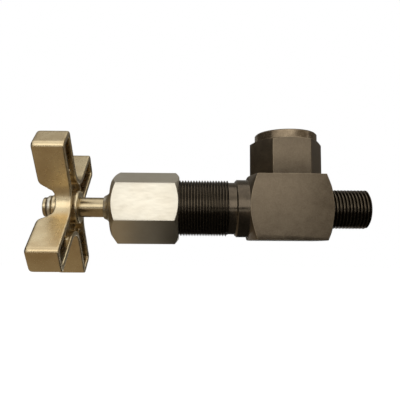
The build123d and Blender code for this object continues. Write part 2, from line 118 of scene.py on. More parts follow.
bpy.ops.object.select_all(action="DESELECT")
floor_height = cad_bounds[0][2] - FLOOR_DROP
bpy.ops.mesh.primitive_plane_add(size=FLOOR_SIZE, location=(0, 0, floor_height))
floor = bpy.context.object
floor.name = "floor"
floor_white, tree = empty_material("white_floor")
paint = add_node(tree, "ShaderNodeBsdfDiffuse", {"Color": linear("F4F4F4")})
glow = add_node(tree, "ShaderNodeEmission", {"Color": linear("FFFFFF"), "Strength": FLOOR_GLOW})
glow_where_seen = add_node(tree, "ShaderNodeMixShader", {0: seen_background(tree), 2: glow.outputs[0]})
sum_shader = add_node(tree, "ShaderNodeAddShader", {0: paint.outputs[0], 1: glow_where_seen.outputs[0]})
add_node(tree, "ShaderNodeOutputMaterial", {"Surface": sum_shader.outputs[0]})
floor.data.materials.append(floor_white)


def aim(place, target):
    """Matrix of a lamp, camera or card at place whose back, local +Z, points away from target."""
    direction = (Vector(place) - Vector(target)).normalized()
    return Matrix.Translation(place) @ direction.to_track_quat("Z", "Y").to_matrix().to_4x4()


object_middle = [(low + high) / 2 for low, high in zip(*cad_bounds)]


def soft_lamp(name, place, width, height, watts):
    """A rectangular lamp that faces the middle of the object."""
    lamp_data = bpy.data.lights.new(name, "AREA")
    lamp_data.shape = "RECTANGLE"
    lamp_data.size = width
    lamp_data.size_y = height
    lamp_data.energy = watts
    lamp = bpy.data.objects.new(name, lamp_data)
    bpy.context.collection.objects.link(lamp)
    lamp.matrix_world = aim(place, object_middle)


soft_lamp("front_lamp", (-0.15, -1.0, 0.29), 1.1, 0.55, 1.8)
soft_lamp("overhead_lamp", (0.0, -0.1, 0.9), 1.2, 0.7, 0.7)


def card(name, place, width, height, tone, level, facing=object_middle):
    """A card that only reflections see, as bright as level, square to the line to facing."""
    bpy.ops.object.select_all(action="DESELECT")
    bpy.ops.mesh.primitive_plane_add(size=1)
    sheet = bpy.context.object
    sheet.name = name
    sheet.matrix_world = aim(place, facing) @ Matrix.Diagonal((width, height, 1, 1))
    shade, tree = empty_material(name + "_paper")
    emission = add_node(tree, "ShaderNodeEmission", {"Color": linear(tone), "Strength": level})
    add_node(tree, "ShaderNodeOutputMaterial", {"Surface": emission.outputs[0]})
    sheet.data.materials.append(shade)
    sheet.visible_camera = False
    sheet.visible_diffuse = False
    sheet.visible_shadow = False
    sheet.visible_transmission = False


card("back_card", (0.0, 0.75, 0.75), 2.6, 1.4, "FFFAF0", 0.30)
card("back_low_card", (0.0, 0.9, 0.08), 2.6, 0.42, "FFFAF0", 0.12, (0.0, 0.0, 0.08))
card("left_card", (-0.75, 0.25, 0.1), 1.3, 0.9, "FFF4E4", 0.07, (0.0, 0.25, 0.1))
card("right_card", (0.65, 0.45, 0.1), 1.3, 0.9, "FFF4E4", 0.14, (0.0, 0.0, 0.1))
card("front_right_card", (0.75, -0.55, 0.15), 0.9, 0.9, "FFF4E4", 0.40, (0.0, 0.0, 0.15))
card("low_front_card", (0.0, -1.05, -0.065), 2.6, 0.15, "FFF4E4", 0.06, (0.0, 0.0, -0.065))
card("warm_under_card", (-0.43, 0.0, -0.13), 0.6, 1.0, "FFE6C2", 0.30, (-0.43, 0.0, 0.0))
card("grey_under_card", (-0.1075, 0.0, -0.13), 0.045, 1.0, "FFF4E4", 0.14, (-0.1075, 0.0, 0.0))
card("dark_under_card", (0.215, 0.0, -0.13), 0.6, 1.0, "FFF4E4", 0.03, (0.215, 0.0, 0.0))

SENSOR_WIDTH = 36
LENS = 43.72
CAMERA_PLACE = (-0.0733, -0.26206, -0.02217)
CAMERA_YAW = math.radians(1.115)
CAMERA_PITCH = math.radians(5.815)
CAMERA_ROLL = math.radians(0.41)
camera_data = bpy.data.cameras.new("camera")
camera_data.sensor_width = SENSOR_WIDTH
camera_data.lens = LENS
camera = bpy.data.objects.new("camera", camera_data)
bpy.context.collection.objects.link(camera)
bpy.context.scene.camera = camera
camera.matrix_world = (
    Matrix.Translation(CAMERA_PLACE)
    @ Matrix.Rotation(-CAMERA_YAW, 4, "Z")
    @ Matrix.Rotation(math.pi / 2 + CAMERA_PITCH, 4, "X")
    @ Matrix.Rotation(CAMERA_ROLL, 4, "Z")
)
bpy.context.scene.view_settings.view_transform = "Standard"

# ---- Valve body --------------------------------------------------------------------------------
# One piece of steel: a block sawn from 34 mm square bar whose ends, neck and inlet are turned on a
# lathe. The threads are cut, and the whole is phosphated black and oiled.
body_low, body_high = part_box("valve_body")
block_half = body_high[2]
TIP_X = body_high[0]
NECK_LEFT = body_low[0]
BLOCK_LEFT = -42.6 * MM
BLOCK_CORNER = block_half * math.sqrt(2) + 0.3 * MM
END_CHAMFER = 3.6 * MM
END_LAND = block_half + 0.2 * MM
COLLAR_LEFT = BLOCK_LEFT - 6.8 * MM
COLLAR_RADIUS = 15.5 * MM
RELIEF_LEFT = COLLAR_LEFT - 4.0 * MM
RELIEF_RADIUS = 13.98 * MM
NECK_CREST, NECK_THREAD_DEPTH, NECK_PITCH = 15.0 * MM, 0.92 * MM, 1.5 * MM
INLET_CREST, INLET_THREAD_DEPTH, INLET_PITCH = 10.4775 * MM, 1.162 * MM, 1.814 * MM
INLET_TIP_RADIUS = 9.1 * MM
INLET_CHAMFER = 0.9 * MM
FLOW_RADIUS = 2.5 * MM
EDGE = 0.25 * MM
HIDDEN_OVERLAP = 0.3 * MM
COLLAR_CHAMFER = 0.8 * MM
BORE_DEPTH = 30 * MM
BORE_CHAMFER = 0.6 * MM
SMOOTH_BELOW = 25           # degrees between faces that are shaded as one
WELD = 1e-6                 # points nearer than this become one
SEAM = 0.05 * MM            # how far a change of finish lies from the edge it belongs to


def select_only(piece):
    """Makes piece the one selected object, and the active one."""
    bpy.ops.object.select_all(action="DESELECT")
    piece.select_set(True)
    bpy.context.view_layer.objects.active = piece


def turned(name, outline, along="X", centre=(0, 0, 0), steps=96):
    """A turned solid: the outline, as (place along the axis, radius), is spun about the axis."""
    axis = Vector((1, 0, 0)) if along == "X" else Vector((0, 0, 1))
    outwards = Vector((0, 0, 1)) if along == "X" else Vector((1, 0, 0))
    points = [Vector(centre) + axis * place + outwards * radius for place, radius in outline]
    if outline[0][1] > 0 or outline[-1][1] > 0:
        points.append(points[0])
    bpy.ops.object.select_all(action="DESELECT")
    bpy.ops.mesh.primitive_plane_add(size=MM)
    piece = bpy.context.object
    piece.name = name
    bpy.ops.object.mode_set(mode="EDIT")
    bpy.ops.mesh.select_mode(type="VERT")
    bpy.ops.mesh.merge(type="CENTER")
    bpy.ops.transform.translate(value=points[0])
    for before, after in zip(points, points[1:]):
        bpy.ops.mesh.extrude_region_move(TRANSFORM_OT_translate={"value": after - before})
    bpy.ops.mesh.select_all(action="SELECT")
    bpy.ops.mesh.spin(steps=steps, angle=2 * math.pi, center=centre, axis=axis)
    bpy.ops.mesh.select_all(action="SELECT")
    bpy.ops.mesh.remove_doubles(threshold=WELD)
    bpy.ops.mesh.normals_make_consistent(inside=False)
    bpy.ops.object.mode_set(mode="OBJECT")
    return piece


def combine(piece, tool, operation):
    """Joins piece with tool, cuts tool out of it, or keeps what both share; tool is used up."""
    select_only(piece)
    modifier = piece.modifiers.new("combine", "BOOLEAN")
    modifier.operation = operation
    modifier.solver = "EXACT"
    modifier.object = tool
    bpy.ops.object.modifier_apply(modifier=modifier.name)
    bpy.data.objects.remove(tool)
    return piece


def round_edges(piece, width, degrees=22):
    """Breaks every edge sharper than degrees."""
    select_only(piece)
    modifier = piece.modifiers.new("round_edges", "BEVEL")
    modifier.width = width
    modifier.segments = 2
    modifier.limit_method = "ANGLE"
    modifier.angle_limit = math.radians(degrees)
    modifier.use_clamp_overlap = True
    bpy.ops.object.modifier_apply(modifier=modifier.name)


def threaded_bar(name, crest, depth, pitch, start, end, steps=72):
    """A bar with a right-hand outside thread from start to end along X, cut off square."""
    flat = pitch / 6
    flank = pitch / 2 - flat
    root = crest - depth
    profile = [(0, root), (flat, root), (flat + flank, crest), (2 * flat + flank, crest), (pitch, root)]
    bpy.ops.object.select_all(action="DESELECT")
    bpy.ops.mesh.primitive_plane_add(size=MM)
    bar = bpy.context.object
    bar.name = name
    bpy.ops.object.mode_set(mode="EDIT")
    bpy.ops.mesh.select_mode(type="VERT")
    bpy.ops.mesh.merge(type="CENTER")
    bpy.ops.transform.translate(value=(start - 2 * pitch, 0, root))
    for (x0, r0), (x1, r1) in zip(profile, profile[1:]):
        bpy.ops.mesh.extrude_region_move(TRANSFORM_OT_translate={"value": (x1 - x0, 0, r1 - r0)})
    bpy.ops.object.mode_set(mode="OBJECT")
    screw = bar.modifiers.new("screw", "SCREW")
    screw.axis = "X"
    screw.angle = 2 * math.pi
    screw.screw_offset = pitch
    screw.iterations = math.ceil((end - start) / pitch) + 4
    screw.steps = screw.render_steps = steps
    screw.use_merge_vertices = True
    screw.merge_threshold = WELD
    screw.use_smooth_shade = False
    select_only(bar)
    bpy.ops.object.modifier_apply(modifier=screw.name)
    bpy.ops.object.mode_set(mode="EDIT")
    bpy.ops.mesh.select_all(action="SELECT")
    bpy.ops.mesh.remove_doubles(threshold=WELD)
    for place, outwards in ((start, -1), (end, 1)):
        bpy.ops.mesh.select_all(action="SELECT")
        bpy.ops.mesh.bisect(
            plane_co=(place, 0, 0), plane_no=(outwards, 0, 0), use_fill=True, clear_outer=True,
            threshold=1e-7)
    bpy.ops.mesh.select_all(action="SELECT")
    bpy.ops.mesh.normals_make_consistent(inside=False)
    bpy.ops.object.mode_set(mode="OBJECT")
    return bar


def settle(piece, degrees):
    """Puts the piece's place into its mesh and shades it smooth up to an angle."""
    select_only(piece)
    bpy.ops.object.transform_apply(location=True, rotation=True, scale=True)
    bpy.ops.object.shade_smooth_by_angle(angle=math.radians(degrees))


bpy.ops.object.select_all(action="DESELECT")
bpy.ops.mesh.primitive_cube_add(size=1, location=((TIP_X + NECK_LEFT) / 2, 0, 0))
valve_body = bpy.context.object
valve_body.name = "valve_body_steel"
valve_body.scale = (TIP_X - NECK_LEFT + 10 * MM, 2 * block_half, 2 * block_half)
bpy.ops.object.transform_apply(location=True, rotation=True, scale=True)
inlet_root = INLET_CREST - INLET_THREAD_DEPTH
combine(valve_body, turned("turned_blank", [
    (TIP_X - MM, 0),
    (TIP_X - MM, inlet_root),
    (0, inlet_root),
    (0, END_LAND),
    (-END_CHAMFER, BLOCK_CORNER),
    (BLOCK_LEFT + END_CHAMFER, BLOCK_CORNER),
    (BLOCK_LEFT, END_LAND),
    (BLOCK_LEFT, COLLAR_RADIUS),
    (COLLAR_LEFT + COLLAR_CHAMFER, COLLAR_RADIUS),
    (COLLAR_LEFT, COLLAR_RADIUS - COLLAR_CHAMFER),
    (COLLAR_LEFT, RELIEF_RADIUS),
    (RELIEF_LEFT - HIDDEN_OVERLAP, RELIEF_RADIUS),
    (RELIEF_LEFT - HIDDEN_OVERLAP, 0),
], steps=128), "INTERSECT")
round_edges(valve_body, EDGE)
combine(valve_body, threaded_bar(
    "neck_thread", NECK_CREST, NECK_THREAD_DEPTH, NECK_PITCH, NECK_LEFT, RELIEF_LEFT), "UNION")
inlet_thread = threaded_bar(
    "inlet_thread", INLET_CREST, INLET_THREAD_DEPTH, INLET_PITCH, HIDDEN_OVERLAP, TIP_X)
chamfer_slope = (INLET_CREST - INLET_TIP_RADIUS) / INLET_CHAMFER
combine(inlet_thread, turned("inlet_end", [
    (-MM, 0),
    (-MM, INLET_CREST + MM),
    (TIP_X - INLET_CHAMFER - MM / chamfer_slope, INLET_CREST + MM),
    (TIP_X, INLET_TIP_RADIUS),
    (TIP_X, 0),
], steps=96), "INTERSECT")
combine(valve_body, inlet_thread, "UNION")
combine(valve_body, turned("inlet_bore", [
    (TIP_X - BORE_DEPTH, 0),
    (TIP_X - BORE_DEPTH, FLOW_RADIUS),
    (TIP_X - BORE_CHAMFER, FLOW_RADIUS),
    (TIP_X + BORE_CHAMFER, FLOW_RADIUS + 2 * BORE_CHAMFER),
    (TIP_X + BORE_CHAMFER, 0),
], steps=32), "DIFFERENCE")
settle(valve_body, SMOOTH_BELOW)

# Phosphating etches the steel into a fine, dull, brown-black crust that oil darkens. On the sawn
# and ground faces it is thin and looks brown-grey. Its edges are painted paler: partly metal rubbed
# bare, partly a painted highlight. The crystals are about 0.05 mm across; the grain is drawn 0.7 mm coarse
# so that it shows.
PHOSPHATE_GRAIN = 0.7 * MM
PHOSPHATE_CLOUD = 4.5 * MM
PHOSPHATE_CRUST = 0.05 * MM
EDGE_WEAR_AND_HIGHLIGHT_RIM = 0.45 * MM


def worn_and_highlit_edges(tree, radius):
    """Mask of the edges painted paler, as wear and as painted highlight: 1 on the edges of a piece, falling
    to 0 at about radius from them.
    """
    surface = add_node(tree, "ShaderNodeNewGeometry")
    rounded = add_node(tree, "ShaderNodeBevel", {"Radius": radius}, samples=4)
    alike = add_node(tree, "ShaderNodeVectorMath", {0: surface.outputs["Normal"], 1: rounded.outputs[0]},
                     operation="DOT_PRODUCT")
    edge_wear_and_highlight = add_node(tree, "ShaderNodeMapRange", {
        "Value": alike.outputs["Value"], "From Min": 0.995, "From Max": 0.93})
    return edge_wear_and_highlight.outputs[0]


def phosphate(name, pale, dark, edge_wear_and_highlight, roughness, relief):
    """Phosphated steel in two tones. Its edges are painted bright, partly as rubbed wear and partly as a
    painted highlight.
    """
    material, tree = empty_material(name)
    place = add_node(tree, "ShaderNodeTexCoord")
    grain = add_node(tree, "ShaderNodeTexNoise", {
        "Vector": place.outputs["Object"], "Scale": 1 / PHOSPHATE_GRAIN, "Detail": 4, "Roughness": 0.7})
    cloud = add_node(tree, "ShaderNodeTexNoise", {
        "Vector": place.outputs["Object"], "Scale": 1 / PHOSPHATE_CLOUD, "Detail": 5, "Roughness": 0.7})
    both = add_node(tree, "ShaderNodeMath", {
        0: grain.outputs["Fac"], 1: cloud.outputs["Fac"]}, operation="ADD")
    tone = add_node(tree, "ShaderNodeMapRange", {
        "Value": both.outputs[0], "From Min": 0.75, "From Max": 1.25})
    colour = add_node(tree, "ShaderNodeMix", {0: tone.outputs[0], 6: linear(dark), 7: linear(pale)},
                      data_type="RGBA")
    # The edges are painted paler in patches, partly as rubbed wear and partly as a painted highlight.
    edge = add_node(tree, "ShaderNodeMath", {
        0: worn_and_highlit_edges(tree, EDGE_WEAR_AND_HIGHLIGHT_RIM), 1: cloud.outputs["Fac"]}, operation="MULTIPLY")
    rubbed = add_node(tree, "ShaderNodeMix", {0: edge.outputs[0], 6: colour.outputs[2], 7: linear(edge_wear_and_highlight)},
                      data_type="RGBA")
    rough = add_node(tree, "ShaderNodeMapRange", {
        "Value": both.outputs[0], "From Min": 0.7, "From Max": 1.3,
        "To Min": roughness - 0.07, "To Max": roughness + 0.07})
    bump = add_node(tree, "ShaderNodeBump", {
        "Height": grain.outputs["Fac"], "Strength": relief, "Distance": PHOSPHATE_CRUST})
    shader = add_node(tree, "ShaderNodeBsdfPrincipled", {
        "Base Color": rubbed.outputs[2], "Metallic": 0.85, "Roughness": rough.outputs[0],
        "Normal": bump.outputs[0]})
    add_node(tree, "ShaderNodeOutputMaterial", {"Surface": shader.outputs[0]})
    return material


# The block has the thin crust. The lathe-turned collar and relief under it are smoother and hold
# more oil, so they are darker and shine in a narrow band.
phosphated_steel = phosphate("phosphated_steel", "746754", "5E5242", "C0AE90", 0.40, 0.2)
oiled_steel = phosphate("oiled_black_turned_steel", "615647", "4C4337", "A5957C", 0.2, 0.06)

# The threads are oiled near-black steel. Their colour is darkened in the grooves by an ambient occlusion
# mask that reaches as deep as the thread, 1 to 1.5 mm. This is painted shade, and it leaves the crests
# paler. Oil and dirt vary the shine in patches of about 3 mm.
GROOVE_SHADE_REACH = 1.5 * MM
THREAD_DIRT = 3.3 * MM
oiled_thread_painted_shade, tree = empty_material("oiled_black_thread_painted_groove_shade")
place = add_node(tree, "ShaderNodeTexCoord")
# Ambient occlusion paints shade into the grooves: the colour runs from near-black there to paler on the
# crests.
hollow = add_node(tree, "ShaderNodeAmbientOcclusion", {"Distance": GROOVE_SHADE_REACH}, samples=8)
painted_groove_shade_mask = add_node(tree, "ShaderNodeMapRange", {
    "Value": hollow.outputs["AO"], "From Min": 0.35, "From Max": 0.95})
cloud = add_node(tree, "ShaderNodeTexNoise", {
    "Vector": place.outputs["Object"], "Scale": 1 / THREAD_DIRT, "Detail": 3, "Roughness": 0.6})
colour = add_node(tree, "ShaderNodeMix", {0: painted_groove_shade_mask.outputs[0], 6: linear("17130E"), 7: linear("5F5444")},
                  data_type="RGBA")
rough = add_node(tree, "ShaderNodeMapRange", {"Value": cloud.outputs["Fac"], "To Min": 0.16, "To Max": 0.34})
shader = add_node(tree, "ShaderNodeBsdfPrincipled", {
    "Base Color": colour.outputs[2], "Metallic": 0.9, "Roughness": rough.outputs[0]})
add_node(tree, "ShaderNodeOutputMaterial", {"Surface": shader.outputs[0]})
valve_body.data.materials.append(phosphated_steel)
valve_body.data.materials.append(oiled_steel)
valve_body.data.materials.append(oiled_thread_painted_shade)
for face in valve_body.data.polygons:
    if face.center.x < RELIEF_LEFT + SEAM or face.center.x > SEAM:
        face.material_index = 2
    elif face.center.x < BLOCK_LEFT - SEAM:
        face.material_index = 1
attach(valve_body, "valve")
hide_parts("valve_body")

# ---- Bonnet nut --------------------------------------------------------------------------------
# A cap nut turned from 34 mm hexagon bar and screwed on the neck. It holds the packing down and
# guides the spindle. It is bright zinc plated, which keeps the fine marks of the drawn bar.
bonnet_low, bonnet_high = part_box("bonnet_nut")
BONNET_FLATS = 34.0 * MM
BONNET_TURN = math.radians(6.2)
BONNET_RIGHT = bonnet_high[0]
NOSE_LEFT = bonnet_low[0]
BONNET_HEX_LEFT = NOSE_LEFT + 4.6 * MM
STEM_BORE = 5.35 * MM
NOSE_BORE_DEPTH = 9 * MM
CORNER_CLEARANCE = 0.2 * MM
BONNET_END_RADIUS, BONNET_END_CHAMFER = 16.9 * MM, 2.1 * MM
BONNET_NOSE_RADIUS, BONNET_NOSE_CHAMFER = 15.4 * MM, 3.3 * MM
MOUTH_CHAMFER = 1.2 * MM
THREAD_CLEARANCE = 0.02 * MM
ACROSS_SPINDLE = Matrix(((0, 0, -1, 0), (-1, 0, 0, 0), (0, 1, 0, 0), (0, 0, 0, 1)))


def hexagon_bar(name, flats, length):
    """A hexagon bar along local Z from 0 to length, with one flat facing local X."""
    bpy.ops.object.select_all(action="DESELECT")
    bpy.ops.mesh.primitive_cylinder_add(
        vertices=6, radius=flats / math.sqrt(3), depth=length, location=(0, 0, length / 2))
    bar = bpy.context.object
    bar.name = name
    return bar


bonnet_nut = hexagon_bar("bonnet_nut_zinc", BONNET_FLATS, BONNET_RIGHT - NOSE_LEFT + 2 * MM)
bonnet_nut.matrix_world = (
    Matrix.Translation((BONNET_RIGHT + MM, 0, 0))
    @ ACROSS_SPINDLE
    @ Matrix.Rotation(BONNET_TURN, 4, "Z")
    @ bonnet_nut.matrix_world
)
select_only(bonnet_nut)
bpy.ops.object.transform_apply(location=True, rotation=True, scale=True)
hex_corner = BONNET_FLATS / math.sqrt(3) + CORNER_CLEARANCE
# The nose's hollow curve, in mm from the hexagon's end and from the axis.
nose_curve = [
    (-1.1, 10.0), (-1.35, 9.0), (-1.8, 8.1), (-2.5, 7.3),
    (-3.4, 6.65), (-4.4, 6.2), (-4.6, 6.0), (-4.6, 5.6)]
combine(bonnet_nut, turned("bonnet_blank", [
    (BONNET_RIGHT - MOUTH_CHAMFER, NECK_CREST + THREAD_CLEARANCE),
    (BONNET_RIGHT, NECK_CREST + 0.8 * MM),
    (BONNET_RIGHT, BONNET_END_RADIUS),
    (BONNET_RIGHT - BONNET_END_CHAMFER, hex_corner),
    (BONNET_HEX_LEFT + BONNET_NOSE_CHAMFER, hex_corner),
    (BONNET_HEX_LEFT, BONNET_NOSE_RADIUS),
    *[(BONNET_HEX_LEFT + x * MM, radius * MM) for x, radius in nose_curve],
    (NOSE_LEFT + 0.4 * MM, STEM_BORE),
    (NOSE_LEFT + NOSE_BORE_DEPTH, STEM_BORE),
    (NOSE_LEFT + NOSE_BORE_DEPTH, NECK_CREST + THREAD_CLEARANCE),
], steps=128), "INTERSECT")
round_edges(bonnet_nut, 0.35 * MM, degrees=18)
settle(bonnet_nut, SMOOTH_BELOW)

# Bright zinc over drawn bar is a pale, slightly cream, satin metal. The bar's drawing marks run
# along it: they are hairlines of some 0.05 mm, drawn 1.1 mm wide and four times as long so that
# they show, and the plating's thickness clouds it over about 8 mm.
DRAWN_MARK = 1.1 * MM
PLATING_CLOUD = 8 * MM
zinc_plate, tree = empty_material("bright_zinc_plate")
place = add_node(tree, "ShaderNodeTexCoord")
drawn = add_node(tree, "ShaderNodeMapping", {"Vector": place.outputs["Object"], "Scale": (0.25, 1, 1)})
grain = add_node(tree, "ShaderNodeTexNoise", {
    "Vector": drawn.outputs[0], "Scale": 1 / DRAWN_MARK, "Detail": 4, "Roughness": 0.6})
cloud = add_node(tree, "ShaderNodeTexNoise", {
    "Vector": place.outputs["Object"], "Scale": 1 / PLATING_CLOUD, "Detail": 2, "Roughness": 0.5})
tone = add_node(tree, "ShaderNodeMapRange", {
    "Value": cloud.outputs["Fac"], "From Min": 0.35, "From Max": 0.65})
colour = add_node(tree, "ShaderNodeMix", {
    0: tone.outputs[0], 6: linear("CCC4B2"), 7: linear("D1CAB9")}, data_type="RGBA")
rough = add_node(tree, "ShaderNodeMapRange", {
    "Value": grain.outputs["Fac"], "From Min": 0.3, "From Max": 0.7, "To Min": 0.30, "To Max": 0.42})
bump = add_node(tree, "ShaderNodeBump", {
    "Height": grain.outputs["Fac"], "Strength": 0.2, "Distance": 0.04 * MM})
shader = add_node(tree, "ShaderNodeBsdfPrincipled", {
    "Base Color": colour.outputs[2], "Metallic": 1.0, "Roughness": rough.outputs[0],
    "Normal": bump.outputs[0]})
add_node(tree, "ShaderNodeOutputMaterial", {"Surface": shader.outputs[0]})
bonnet_nut.data.materials.append(zinc_plate)
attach(bonnet_nut, "valve")
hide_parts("bonnet_nut")

# ---- Spindle -----------------------------------------------------------------------------------
# Turned and ground steel. It comes out of the bonnet nut's nose, runs through the handle's hub and
# ends in front of it with a small chamfered head behind which the snap ring sits.
SPINDLE_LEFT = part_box("spindle")[0][0]
HANDLE_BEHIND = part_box("handle")[1][0]
ring_low, ring_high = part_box("handle_snap_ring")
STEM_RADIUS = 5.3 * MM
STEM_END_RADIUS = 5.2 * MM
GROOVE_RADIUS = 4.6 * MM
HIDDEN_STEM = 30 * MM
CENTRE_RADIUS, CENTRE_DEPTH = 1.2 * MM, 0.9 * MM
spindle = turned("spindle_steel", [
    (NOSE_LEFT + HIDDEN_STEM, 0),
    (NOSE_LEFT + HIDDEN_STEM, STEM_RADIUS),
    (HANDLE_BEHIND, STEM_RADIUS),
    (HANDLE_BEHIND, STEM_END_RADIUS),
    (ring_high[0] + 0.1 * MM, STEM_END_RADIUS),
    (ring_high[0], STEM_END_RADIUS - 0.1 * MM),
    (ring_high[0], GROOVE_RADIUS),
    (ring_low[0], GROOVE_RADIUS),
    (ring_low[0], STEM_END_RADIUS - 0.15 * MM),
    (ring_low[0] - 0.15 * MM, STEM_END_RADIUS),
    (SPINDLE_LEFT + 0.5 * MM, STEM_END_RADIUS),
    (SPINDLE_LEFT + 0.15 * MM, STEM_END_RADIUS - 0.25 * MM),
    (SPINDLE_LEFT, STEM_END_RADIUS - 0.7 * MM),
    (SPINDLE_LEFT, CENTRE_RADIUS),
    (SPINDLE_LEFT + CENTRE_DEPTH, 0),
], steps=72)
settle(spindle, SMOOTH_BELOW)

# Ground steel is smooth and bright with fine rings round it from the grinding, and years of oil
# have stained it light brown. The rings are 0.05 mm apart; they are drawn 0.6 mm apart so that
# they show. The stains are about 5 mm across.
GRINDING_RING = 0.6 * MM
OIL_STAIN = 5.5 * MM
ground_steel, tree = empty_material("ground_spindle_steel")
place = add_node(tree, "ShaderNodeTexCoord")
rings = add_node(tree, "ShaderNodeMapping", {"Vector": place.outputs["Object"], "Scale": (1, 0.12, 0.12)})
grain = add_node(tree, "ShaderNodeTexNoise", {
    "Vector": rings.outputs[0], "Scale": 1 / GRINDING_RING, "Detail": 3, "Roughness": 0.6})
cloud = add_node(tree, "ShaderNodeTexNoise", {
    "Vector": place.outputs["Object"], "Scale": 1 / OIL_STAIN, "Detail": 3, "Roughness": 0.6})
colour = add_node(tree, "ShaderNodeMix", {
    0: cloud.outputs["Fac"], 6: linear("9C8C6E"), 7: linear("C6B592")}, data_type="RGBA")
rough = add_node(tree, "ShaderNodeMapRange", {
    "Value": grain.outputs["Fac"], "From Min": 0.3, "From Max": 0.7, "To Min": 0.17, "To Max": 0.27})
bump = add_node(tree, "ShaderNodeBump", {
    "Height": grain.outputs["Fac"], "Strength": 0.15, "Distance": 0.03 * MM})
shader = add_node(tree, "ShaderNodeBsdfPrincipled", {
    "Base Color": colour.outputs[2], "Metallic": 1.0, "Roughness": rough.outputs[0],
    "Normal": bump.outputs[0]})
add_node(tree, "ShaderNodeOutputMaterial", {"Surface": shader.outputs[0]})
spindle.data.materials.append(ground_steel)
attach(spindle, "spindle")
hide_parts("spindle")

# ---- Handle ------------------------------------------------------------------------------------
# A four-arm cross handle, die cast in zinc alloy with a warm nickel finish. The front is dished
# round the hub, the back is hollow with a rib across each arm, and every edge is soft.
handle_low, handle_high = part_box("handle")
ARM_REACH = 43.3 * MM
ARM_WIDTH = 15.0 * MM
ARM_CORNER = 2.6 * MM
VALLEY = 12.0 * MM
HANDLE_TURN = math.radians(3.0)
HUB_STAND_OUT = 1.6 * MM
HANDLE_WALL = 2.8 * MM
DISH_DEPTH = 8.0 * MM
DISH_FLOOR, DISH_RIM = 17.0 * MM, 21.5 * MM
HUB_WEB = 3.0 * MM
HUB_RADIUS = 9.0 * MM
BOSS_RADIUS, BOSS_HEIGHT = 6.8 * MM, 5.0 * MM
HANDLE_BACK = handle_high[0] - HUB_STAND_OUT
HANDLE_FRONT = handle_low[0]
HANDLE_DEPTH = HANDLE_BACK - HANDLE_FRONT
BACK_EDGE = 2.0 * MM
RIB_PLACE, RIB_THICKNESS, RIB_SETBACK = 20 * MM, 2 * MM, 3 * MM
CAST_GRID = 0.42 * MM
NEAR = 1e-5                 # how exactly an edge has to lie where it is looked for


def select_edges(piece, wanted):
    """In object mode, selects only the edges whose middle and direction satisfy wanted."""
    bpy.ops.object.mode_set(mode="EDIT")
    bpy.ops.mesh.select_mode(type="EDGE")
    bpy.ops.mesh.select_all(action="DESELECT")
    bpy.ops.object.mode_set(mode="OBJECT")
    points = piece.data.vertices
    for edge in piece.data.edges:
        first, second = (points[v].co for v in edge.vertices)
        edge.select = wanted((first + second) / 2, (second - first).normalized())
    bpy.ops.object.mode_set(mode="EDIT")


def cross_block(name, inset, low, high):
    """A four-arm block between heights low and high, drawn in by inset all round."""
    half = ARM_WIDTH / 2 - inset
    reach = ARM_REACH - inset
    bpy.ops.object.select_all(action="DESELECT")
    bpy.ops.mesh.primitive_plane_add(size=2 * half, location=(0, 0, low))
    block = bpy.context.object
    block.name = name
    bpy.ops.object.transform_apply(location=True, rotation=True, scale=True)
    for step in range(4):
        way = Matrix.Rotation(step * math.pi / 2, 3, "Z") @ Vector((1, 0, 0))
        select_edges(block, lambda middle, along: (middle.xy.to_3d() - way * half).length < WELD)
        bpy.ops.mesh.extrude_region_move(TRANSFORM_OT_translate={"value": way * (reach - half)})
        bpy.ops.object.mode_set(mode="OBJECT")
    bpy.ops.object.mode_set(mode="EDIT")
    bpy.ops.mesh.select_all(action="SELECT")
    bpy.ops.mesh.dissolve_limited(angle_limit=math.radians(1))
    bpy.ops.mesh.select_all(action="SELECT")
    bpy.ops.mesh.extrude_region_move(TRANSFORM_OT_translate={"value": (0, 0, high - low)})
    bpy.ops.mesh.select_all(action="SELECT")
    bpy.ops.mesh.normals_make_consistent(inside=False)
    bpy.ops.object.mode_set(mode="OBJECT")
    inner = half * math.sqrt(2) + NEAR
    select_edges(block, lambda middle, along: abs(along.z) > 0.9 and middle.xy.length < inner)
    bpy.ops.mesh.bevel(offset=VALLEY + inset, segments=14, affect="EDGES", clamp_overlap=False)
    bpy.ops.object.mode_set(mode="OBJECT")
    tips = reach - NEAR
    select_edges(
        block, lambda middle, along: abs(along.z) > 0.9 and max(abs(middle.x), abs(middle.y)) > tips)
    bpy.ops.mesh.bevel(offset=ARM_CORNER - inset / 2, segments=6, affect="EDGES", clamp_overlap=False)
    bpy.ops.object.mode_set(mode="OBJECT")
    return block


